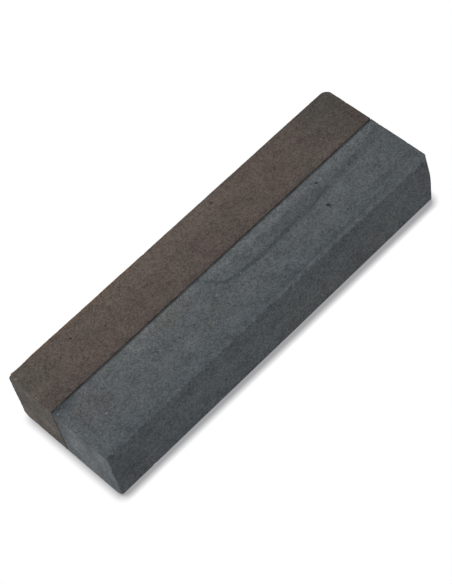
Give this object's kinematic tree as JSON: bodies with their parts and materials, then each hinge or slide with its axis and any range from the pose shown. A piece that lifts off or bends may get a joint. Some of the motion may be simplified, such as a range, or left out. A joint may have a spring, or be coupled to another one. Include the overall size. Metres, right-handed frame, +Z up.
{
  "type": "combination whetstone",
  "caption": "Rectangular bench whetstone: a brown and a blue-grey abrasive block glued side by side along their length, so that both grits lie in one flat face.",
  "frame": {"origin": "middle of the base, on the surface that the stone lies on", "axes": "+X along the length towards the end with the larger corner radii, +Y from the blue-grey block to the brown block, +Z up"},
  "size_m": [0.15, 0.0478, 0.0246],
  "materials": {
    "brown_stone": "matt fine-grained abrasive stone, brown with purple-brown and olive-brown mottling",
    "blue_grey_stone": "matt fine-grained abrasive stone, dark blue-grey with darker veins and small pits",
    "dark_adhesive": "dark adhesive in the joint; its own colour and sheen are guessed"
  },
  "bodies": {
    "root": {"brown_block": "brown_stone", "grey_block": "blue_grey_stone", "bond_film": "dark_adhesive"}
  },
  "joints": []
}
